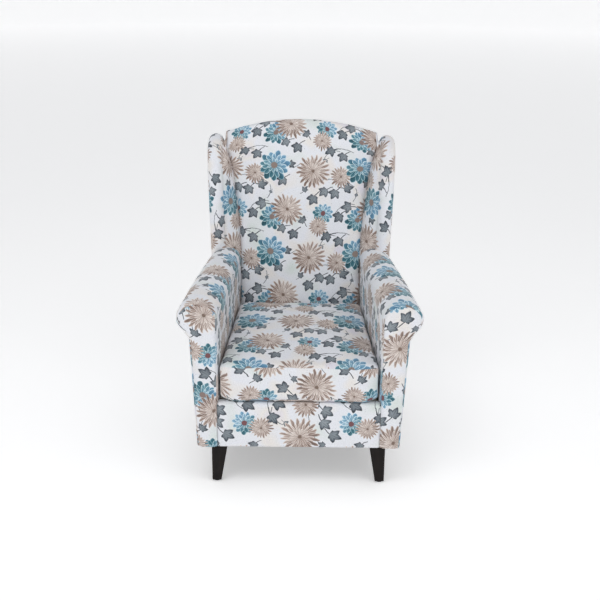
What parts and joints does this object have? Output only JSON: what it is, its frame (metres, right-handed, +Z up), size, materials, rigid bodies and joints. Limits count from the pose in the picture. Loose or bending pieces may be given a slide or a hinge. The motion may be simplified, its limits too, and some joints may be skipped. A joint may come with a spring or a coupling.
{
  "type": "wing armchair",
  "caption": "Upholstered wing armchair in floral print: arched back with wings, rolled arms, loose seat cushion and short dark tapered legs.",
  "frame": {"origin": "on the floor under the middle of the chair's overall width and depth", "axes": "+Z up; the chair faces -Y and its back is towards +Y; +X is to the right as seen from the front"},
  "size_m": [0.7656, 0.8, 1.0637],
  "materials": {
    "cloth": "matt woven cloth with a printed flower pattern",
    "foam": "open-cell foam",
    "frame": "sawn beech",
    "leg": "satin lacquer over dark stain",
    "steel": "plain",
    "webbing": "woven jute",
    "felt": "needled felt",
    "lining": "black non-woven lining",
    "glide": "moulded"
  },
  "bodies": {
    "armchair": {"arm_facing_left": "cloth", "arm_facing_right": "cloth", "arm_pad_left": "cloth", "arm_pad_right": "cloth", "arm_post_left": "frame", "arm_post_right": "frame", "arm_rail_left": "frame", "arm_rail_right": "frame", "back_pad": "cloth", "back_post_left": "frame", "back_post_right": "frame", "back_strap_1": "webbing", "back_strap_2": "webbing", "back_strap_3": "webbing", "back_strap_4": "webbing", "corner_block_front_left": "frame", "corner_block_front_right": "frame", "corner_block_rear_left": "frame", "corner_block_rear_right": "frame", "crest_rail": "frame", "dust_cover": "lining", "front_border": "cloth", "front_rail": "frame", "glide_front_left": "glide", "glide_front_right": "glide", "glide_rear_left": "glide", "glide_rear_right": "glide", "leg_bolt_front_left": "steel", "leg_bolt_front_right": "steel", "leg_bolt_rear_left": "steel", "leg_bolt_rear_right": "steel", "leg_front_left": "leg", "leg_front_right": "leg", "leg_rear_left": "leg", "leg_rear_right": "leg", "lower_back_rail": "frame", "outside_arm_left": "cloth", "outside_arm_right": "cloth", "outside_back": "cloth", "outside_wing_left": "cloth", "outside_wing_right": "cloth", "rear_rail": "frame", "seat_deck": "felt", "seat_spring_1": "steel", "seat_spring_2": "steel", "seat_spring_3": "steel", "seat_spring_4": "steel", "seat_spring_5": "steel", "side_rail_left": "frame", "side_rail_right": "frame", "wing_board_left": "frame", "wing_board_right": "frame", "wing_pad_left": "cloth", "wing_pad_right": "cloth"},
    "seat_cushion": {"seat_cushion_cover": "cloth", "seat_foam": "foam", "cushion_zip": "lining"},
    "zip_slider": {"zip_slider": "steel"}
  },
  "joints": [
    {"name": "seat_cushion_lift", "type": "slide", "parent": "armchair", "child": "seat_cushion", "axis": [0, 0, 1], "range_m": [0, 0.36]},
    {"name": "zip_travel", "type": "slide", "parent": "seat_cushion", "child": "zip_slider", "axis": [1, 0, 0], "range_m": [0, 0.27]}
  ]
}
